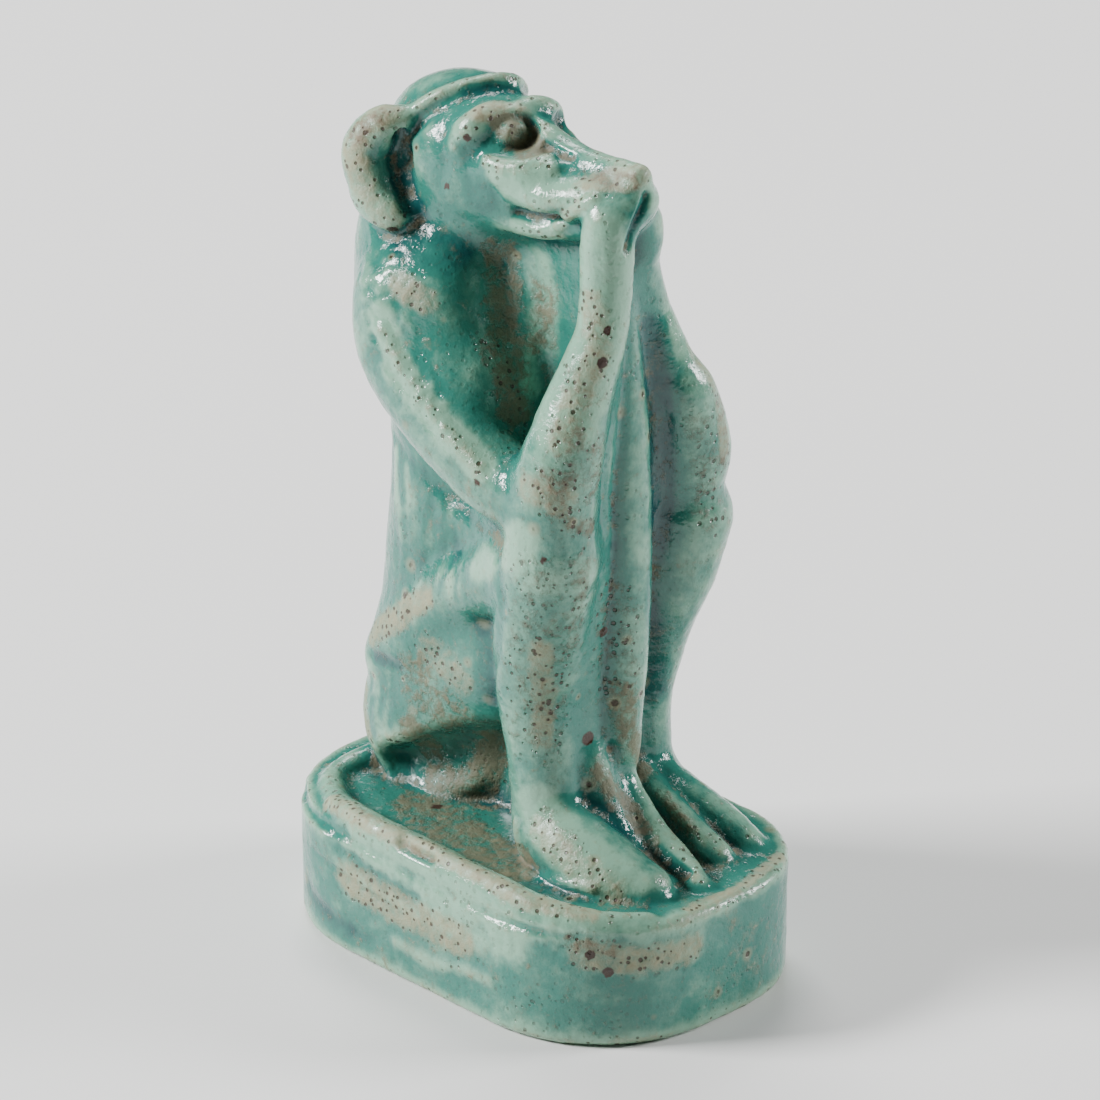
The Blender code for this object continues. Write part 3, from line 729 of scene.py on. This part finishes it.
class Wiring:
    """Short words for joining a material's nodes."""

    def __init__(self, name):
        self.material = bpy.data.materials.new(name)
        self.material.use_nodes = True
        self.tree = self.material.node_tree
        self.shader = self.tree.nodes["Principled BSDF"]
        self.place = self.tree.nodes.new("ShaderNodeTexCoord").outputs["Object"]

    def put(self, value, socket):
        """Join a node's output to a socket, or set a constant on it."""
        if isinstance(value, bpy.types.NodeSocket):
            self.tree.links.new(value, socket)
        else:
            socket.default_value = value

    def attribute(self, name):
        """The number that the mesh holds under that name at each point."""
        node = self.tree.nodes.new("ShaderNodeAttribute")
        node.attribute_name = name
        return node.outputs["Fac"]

    def moved(self, shift):
        """The place on the piece, moved by shift."""
        mapping = self.tree.nodes.new("ShaderNodeMapping")
        self.put(self.place, mapping.inputs["Vector"])
        mapping.inputs["Location"].default_value = shift
        return mapping.outputs[0]

    def noise(self, width, detail=2.0, rough=0.5, bend=0.0, shift=(0.0, 0.0, 0.0)):
        """Noise whose main waves are width metres long."""
        node = self.tree.nodes.new("ShaderNodeTexNoise")
        self.put(self.moved(shift), node.inputs["Vector"])
        node.inputs["Scale"].default_value = 1.0 / width
        node.inputs["Detail"].default_value = detail
        node.inputs["Roughness"].default_value = rough
        node.inputs["Distortion"].default_value = bend
        return node.outputs["Fac"]

    def spots(self, width, low, high, share, shift=(0.0, 0.0, 0.0)):
        """Round spots on a jittered lattice width apart: 1 within low of a
        spot's middle, 0 beyond high, and only that share of them there."""
        node = self.tree.nodes.new("ShaderNodeTexVoronoi")
        self.put(self.moved(shift), node.inputs["Vector"])
        node.inputs["Scale"].default_value = 1.0 / width
        split = self.tree.nodes.new("ShaderNodeSeparateColor")
        self.put(node.outputs["Color"], split.inputs[0])
        there = self.math("LESS_THAN", split.outputs[0], share)
        size = self.math("MULTIPLY_ADD", split.outputs[1], 0.7, 0.5)
        near = self.math("DIVIDE", node.outputs["Distance"], size)
        return self.math("MULTIPLY", self.between(near, high, low), there)

    def math(self, kind, a, b=0.5, c=0.5):
        """One sum of up to three values."""
        node = self.tree.nodes.new("ShaderNodeMath")
        node.operation = kind
        for value, socket in zip((a, b, c), node.inputs):
            self.put(value, socket)
        return node.outputs[0]

    def between(self, value, low, high, bottom=0.0, top=1.0):
        """bottom at low, top at high, and a soft curve between."""
        node = self.tree.nodes.new("ShaderNodeMapRange")
        node.interpolation_type = "SMOOTHSTEP"
        for number, socket in zip((value, low, high, bottom, top), node.inputs):
            self.put(number, socket)
        return node.outputs[0]

    def stirred(self, value, noise, amount):
        """The value, moved up and down with a noise whose middle is a half."""
        return self.math("MULTIPLY_ADD", self.math("SUBTRACT", noise, 0.5), amount, value)

    def laid(self, under, over, share, most):
        """The colour over laid on the colour under, at most so thick."""
        return self.mix(self.math("MULTIPLY", share, most), under, over[:])

    def mix(self, share, first, second):
        """The first colour where share is 0, the second where it is 1."""
        node = self.tree.nodes.new("ShaderNodeMix")
        node.data_type = "RGBA"
        self.put(share, node.inputs["Factor"])
        for value, socket in ((first, node.inputs[6]), (second, node.inputs[7])):
            self.put(value if isinstance(value, bpy.types.NodeSocket) else (*value, 1.0), socket)
        return node.outputs[2]

    def bump(self, height, distance, strength, under=None):
        """Directions tilted by a height of distance metres, over those under it."""
        node = self.tree.nodes.new("ShaderNodeBump")
        node.inputs["Strength"].default_value = strength
        node.inputs["Distance"].default_value = distance
        self.put(height, node.inputs["Height"])
        if under is not None:
            self.put(under, node.inputs["Normal"])
        return node.outputs[0]


# Widths in metres of what is mottled into the glaze
CLOUDS, PATCHES, GRAINS, PEEL = 0.0016, 0.0009, 0.00035, 0.00045
SPECK_SPACING, PIT_SPACING = 0.00028, 0.0014
PIT_SHARE, PIT_SHIFT = 0.4, (0.003, 0.001, 0.002)
GLAZE_IOR = 1.52


def glaze_material(colours):
    """Turquoise glaze: deep in the hollows, pale where it ran thin, worn to a
    beige body on the ridges, with brown pits and dust in the recesses. The deep
    and brown colours are also laid as painted shade, and the pale one as
    painted light."""
    w = Wiring("Turquoise glaze")
    hollow, worn = w.attribute("hollow"), w.attribute("worn")
    stain_and_shade, dust = w.attribute("stain_and_shade"), w.attribute("dust")
    clouds = w.noise(CLOUDS, 4.0, 0.6)
    grains = w.noise(GRAINS, 5.0, 0.65, shift=(0.01, 0.02, 0.03))
    patches = w.noise(PATCHES, 4.0, 0.6, 0.6, shift=(0.02, 0.05, 0.01))

    # Pale to deep, from the hollows and pooled glaze, raised by painted shade and lowered by painted
    # light.
    depth_and_painted_light = w.stirred(w.stirred(hollow, clouds, 0.7), grains, 0.4)
    colour = w.mix(w.between(depth_and_painted_light, 0.0, 0.5), colours.pale[:], colours.body[:])
    colour = w.mix(w.between(depth_and_painted_light, 0.5, 1.2), colour, colours.deep[:])
    bare = w.between(w.stirred(w.stirred(worn, grains, 1.3), patches, 1.1), 0.15, 1.25)
    colour = w.laid(colour, colours.worn, bare, 0.85)
    # Brown on stains, and as painted shade on the shin.
    brown = w.between(w.stirred(w.stirred(stain_and_shade, grains, 1.8), patches, -1.2), 0.35, 1.15)
    colour = w.laid(colour, colours.brown, brown, 0.75)
    dusty = w.between(w.stirred(w.stirred(dust, grains, 2.2), patches, 1.6), 0.25, 1.05)
    colour = w.laid(colour, colours.dust, dusty, 0.8)

    rings = w.spots(PIT_SPACING, 0.10, 0.26, PIT_SHARE, PIT_SHIFT)
    pits = w.spots(PIT_SPACING, 0.06, 0.11, PIT_SHARE, PIT_SHIFT)
    # Specks crowd on worn and browned places, and so also on the painted shade of the shin.
    crowd = w.between(w.math("ADD", worn, stain_and_shade), 0.15, 0.75, 0.15, 1.0)
    specks = w.math("MULTIPLY", w.spots(SPECK_SPACING, 0.20, 0.36, 0.8), crowd)
    colour = w.laid(colour, colours.worn, rings, 0.45)
    colour = w.laid(colour, colours.pit, specks, 0.85)
    colour = w.laid(colour, colours.pit, pits, 0.85)
    colour = w.mix(w.between(w.attribute("pitted"), 0.35, 0.7), colour, colours.pit[:])
    w.put(colour, w.shader.inputs["Base Color"])

    matt = w.math("MAXIMUM", w.math("MAXIMUM", bare, brown), dusty)
    rough = w.math("MULTIPLY_ADD", patches, 0.30, w.between(matt, 0.0, 1.0, 0.0, 0.45))
    w.put(rough, w.shader.inputs["Roughness"])
    w.shader.inputs["IOR"].default_value = GLAZE_IOR
    peel = w.bump(w.noise(PEEL, 3.0, 0.55, shift=(0.05, 0.0, 0.02)), 0.00006, 0.7)
    dents = w.bump(w.math("SUBTRACT", 1.0, w.math("MAXIMUM", specks, pits)), 0.00005, 0.8, peel)
    sand = w.bump(w.math("MULTIPLY", grains, w.math("ADD", matt, 0.3)), 0.00005, 0.8, dents)
    w.put(sand, w.shader.inputs["Normal"])
    return w.material


# What a user may change

class AmuletSizes(bpy.types.PropertyGroup):
    """Sizes of the amulet and the fineness of its skin."""

    figure_height: FloatProperty(
        name="Figure height", description="From the top of the base to the crown", default=0.0290,
        min=0.005, precision=5, unit="LENGTH")
    base_length: FloatProperty(
        name="Base length", description="Base from back to front", default=0.0196,
        min=0.005, precision=5, unit="LENGTH")
    base_width: FloatProperty(
        name="Base width", description="Base from side to side", default=0.0129,
        min=0.005, precision=5, unit="LENGTH")
    base_thickness: FloatProperty(
        name="Base thickness", description="Height of the base", default=0.0051,
        min=0.001, precision=5, unit="LENGTH")
    back_radius: FloatProperty(
        name="Back corners", description="Radius of the base's two back corners", default=0.0057,
        precision=5, unit="LENGTH")
    front_right_radius: FloatProperty(
        name="Front right corner", description="Radius of the base's corner before the right foot",
        default=0.0058, precision=5, unit="LENGTH")
    front_left_radius: FloatProperty(
        name="Front left corner", description="Radius of the base's corner before the left foot",
        default=0.0049, precision=5, unit="LENGTH")
    edge_rounding: FloatProperty(
        name="Edge rounding", description="Rounding of the base's edges", default=0.0004,
        precision=5, unit="LENGTH")
    figure_shift: FloatProperty(
        name="Figure shift", description="How far left of the base's middle the monkey sits",
        default=0.0010, precision=5, unit="LENGTH")
    grain: FloatProperty(
        name="Grain", description="Width of a cell of the grid that the skin is drawn from",
        default=0.0001, min=0.00005, precision=6, unit="LENGTH")
    ripple: FloatProperty(
        name="Ripple", description="Height of the slow waves in the glaze", default=0.000028,
        min=0.0, precision=6, unit="LENGTH")
    triangles: IntProperty(
        name="Triangles", description="Most triangles in the finished skin", default=190000,
        min=20000, max=199000)


def colour(name, description, default):
    """A colour property of three linear numbers."""
    return FloatVectorProperty(name=name, description=description, default=default, subtype="COLOR",
                               size=3, min=0.0, max=1.0)


class AmuletColours(bpy.types.PropertyGroup):
    """Colours of the glaze, the worn body and the stage."""

    body: colour("Glaze", "Glaze on the flat places", (0.027, 0.172, 0.132))
    # Deep glaze is also laid as painted shade on the cheek, beside the left leg and at the front of the
    # base.
    deep: colour("Deep glaze", "Glaze pooled in hollows", (0.003, 0.052, 0.058))
    # Thin glaze is also laid as painted light on the upper arm, the forearm, the foot and the web.
    pale: colour("Thin glaze", "Glaze run thin over ridges", (0.215, 0.410, 0.290))
    worn: colour("Worn body", "Bare body where the glaze is gone", (0.320, 0.295, 0.180))
    # Brown is also laid as painted shade on the shin.
    brown: colour("Brown wear", "Browned ridges", (0.130, 0.075, 0.040))
    dust: colour("Dust", "Sandy dirt in the recesses", (0.150, 0.125, 0.070))
    pit: colour("Pits", "Small burnt pits", (0.035, 0.015, 0.007))
    floor: colour("Floor", "The floor under the amulet", (0.800, 0.800, 0.790))


def sizes_in_squares(sizes):
    """The named sizes of the base, in squares of the grid."""
    square = sizes.figure_height / GRID_ROWS
    return square, {
        "half_width": sizes.base_width / 2 / square,
        "half_length": sizes.base_length / 2 / square,
        "thickness": sizes.base_thickness / square,
        "middle": -sizes.figure_shift / square,
        "edge": sizes.edge_rounding / square,
        "front_right": sizes.front_right_radius / square,
        "front_left": sizes.front_left_radius / square,
        "back": sizes.back_radius / square,
    }


def settled(obj):
    """Give an object's mesh its modifiers' result, and drop the modifiers."""
    graph = bpy.context.evaluated_depsgraph_get()
    mesh = bpy.data.meshes.new_from_object(obj.evaluated_get(graph))
    obj.modifiers.clear()
    old = obj.data
    obj.data = mesh
    bpy.data.meshes.remove(old)


def points_of(mesh):
    """A mesh's points and their outward directions, as arrays."""
    points = np.empty(len(mesh.vertices) * 3, np.float32)
    mesh.vertices.foreach_get("co", points)
    ways = np.empty(len(mesh.vertices) * 3, np.float32)
    mesh.vertex_normals.foreach_get("vector", ways)
    return points.reshape(-1, 3).astype(float), ways.reshape(-1, 3).astype(float)


def write_attribute(mesh, name, values):
    """One number for each point, for the glaze to read."""
    layer = mesh.attributes.new(name, "FLOAT", "POINT")
    layer.data.foreach_set("value", np.ascontiguousarray(values, np.float32))


class AMULET_OT_monkey(bpy.types.Operator):
    """Model the glazed monkey on its base as one skin"""

    bl_idname = "amulet.monkey"
    bl_label = "Glazed monkey"

    def execute(self, context):
        sizes, colours = context.scene.amulet_sizes, context.scene.amulet_colours
        square, plan = sizes_in_squares(sizes)
        clay = model_clay(plan, sizes.grain / square)
        points, faces = skin_of(clay)
        origin = np.array((sizes.figure_shift, 0.0, sizes.base_thickness))
        to_metres = np.array((square, -square, square))
        points = origin + points * to_metres
        skin = mesh_of("glazed_monkey", points, faces)
        monkey = bpy.data.objects.new("glazed_monkey", skin)
        context.scene.collection.objects.link(monkey)
        marks = Skin(points, faces, square, origin)
        ways = points_of(skin)[1]
        points = points + ways * relief(marks, points, square, sizes.ripple)[:, None]
        skin.vertices.foreach_set("co", np.ascontiguousarray(points, np.float32).ravel())
        thin = monkey.modifiers.new("Thin", "DECIMATE")
        thin.ratio = min(1.0, sizes.triangles / (2.0 * len(faces)))
        settled(monkey)
        points, ways = points_of(monkey.data)
        squares = (points - origin) / to_metres
        near, wide = filling(clay, squares, *NEAR_LOOK), filling(clay, squares, *WIDE_LOOK)
        for name, values in finish_of(marks, points, ways, near, wide).items():
            write_attribute(monkey.data, name, np.clip(values, 0.0, 1.0))
        monkey.data.polygons.foreach_set("use_smooth", np.ones(len(monkey.data.polygons), bool))
        monkey.data.materials.append(glaze_material(colours))
        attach(monkey, "root")
        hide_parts(NODE)
        return {"FINISHED"}


# The stage

# Each light's place right, towards the camera and up in metres, its width and watts
LIGHTS = {
    "left": ((-0.42, 0.02, 0.26), 0.14, 5.2),
    "right": ((0.40, -0.06, 0.18), 0.14, 2.2),
    "back": ((-0.05, -0.26, 0.40), 0.20, 1.6),
}
LIT_HEIGHT = 0.018
ROOM_COLOUR, ROOM_STRENGTH = (0.8, 0.82, 0.84, 1.0), 0.03
FLOOR_REACH, FLOOR_CLOUDS, FLOOR_ROUGHNESS = 1.5, 0.05, 0.7
SENSOR_WIDTH = 36.0


def soft_light(name, place, size, watts):
    """A square soft light, turned to the amulet. place is right, towards the
    camera and up, in metres from the amulet, in the plan of the photograph."""
    a = VIEW_AZIMUTH
    right = Vector((math.cos(a), math.sin(a), 0.0))
    towards = Vector((math.sin(a), -math.cos(a), 0.0))
    spot = right * place[0] + towards * place[1] + Vector((0.0, 0.0, place[2]))
    data = bpy.data.lights.new(name, "AREA")
    data.size, data.energy = size, watts
    light = bpy.data.objects.new(name, data)
    light.location = spot
    way = Vector((0.0, 0.0, LIT_HEIGHT)) - spot
    light.rotation_euler = way.to_track_quat("-Z", "Y").to_euler()
    bpy.context.scene.collection.objects.link(light)


class AMULET_OT_stage(bpy.types.Operator):
    """Set the floor, the soft lights and the camera at the photograph's angle"""

    bl_idname = "amulet.stage"
    bl_label = "Stage"

    def execute(self, context):
        sizes, colours = context.scene.amulet_sizes, context.scene.amulet_colours
        square = sizes.figure_height / GRID_ROWS
        corners = np.array([(-1, -1, 0), (1, -1, 0), (1, 1, 0), (-1, 1, 0)]) * FLOOR_REACH
        floor = bpy.data.objects.new("floor", mesh_of("floor", corners, np.array([(0, 1, 2, 3)])))
        paint = Wiring("Pale floor")
        greyer = [c * 0.97 for c in colours.floor]
        shade = paint.mix(paint.noise(FLOOR_CLOUDS, 2.0), greyer, colours.floor[:])
        paint.put(shade, paint.shader.inputs["Base Color"])
        paint.shader.inputs["Roughness"].default_value = FLOOR_ROUGHNESS
        floor.data.materials.append(paint.material)
        context.scene.collection.objects.link(floor)
        for name, (place, width, watts) in LIGHTS.items():
            soft_light(name, place, width, watts)
        world = bpy.data.worlds.new("studio")
        world.use_nodes = True
        room = world.node_tree.nodes["Background"]
        room.inputs["Color"].default_value = ROOM_COLOUR
        room.inputs["Strength"].default_value = ROOM_STRENGTH
        context.scene.world = world
        right, up, back = view_axes()
        aim = Vector((sizes.figure_shift + VIEW_AIM[0] * square, -VIEW_AIM[1] * square,
                      sizes.base_thickness + VIEW_AIM[2] * square))
        data = bpy.data.cameras.new("camera")
        data.sensor_width = SENSOR_WIDTH
        data.lens = data.sensor_width * PIXELS_PER_SQUARE * VIEW_DISTANCE / PHOTO_WIDTH
        data.shift_x, data.shift_y = VIEW_SHIFT
        data.clip_start, data.clip_end = 0.01, 10.0
        camera = bpy.data.objects.new("camera", data)
        pose = Matrix((right, up, back)).transposed().to_4x4()
        pose.translation = aim + back * (VIEW_DISTANCE * square)
        camera.matrix_world = pose
        context.scene.collection.objects.link(camera)
        context.scene.camera = camera
        return {"FINISHED"}


class AMULET_PT_panel(bpy.types.Panel):
    """Lists the amulet's sizes, colours and steps"""

    bl_idname = "AMULET_PT_panel"
    bl_label = "Glazed monkey amulet"
    bl_space_type = "VIEW_3D"
    bl_region_type = "UI"
    bl_category = "Amulet"

    def draw(self, context):
        for group in (context.scene.amulet_sizes, context.scene.amulet_colours):
            column = self.layout.column(align=True)
            for name in group.__annotations__:
                column.prop(group, name)
        for step in STEPS:
            self.layout.operator(step.bl_idname)


STEPS = (AMULET_OT_monkey, AMULET_OT_stage)
CLASSES = (AmuletSizes, AmuletColours) + STEPS + (AMULET_PT_panel,)


def register():
    """Make the add-on's classes and settings known."""
    for kind in CLASSES:
        bpy.utils.register_class(kind)
    bpy.types.Scene.amulet_sizes = PointerProperty(type=AmuletSizes)
    bpy.types.Scene.amulet_colours = PointerProperty(type=AmuletColours)


def unregister():
    """Forget them again."""
    del bpy.types.Scene.amulet_colours
    del bpy.types.Scene.amulet_sizes
    for kind in reversed(CLASSES):
        bpy.utils.unregister_class(kind)


def main():
    """Make every piece in order."""
    register()
    bpy.ops.amulet.monkey()
    bpy.ops.amulet.stage()


if __name__ == "__main__":
    main()
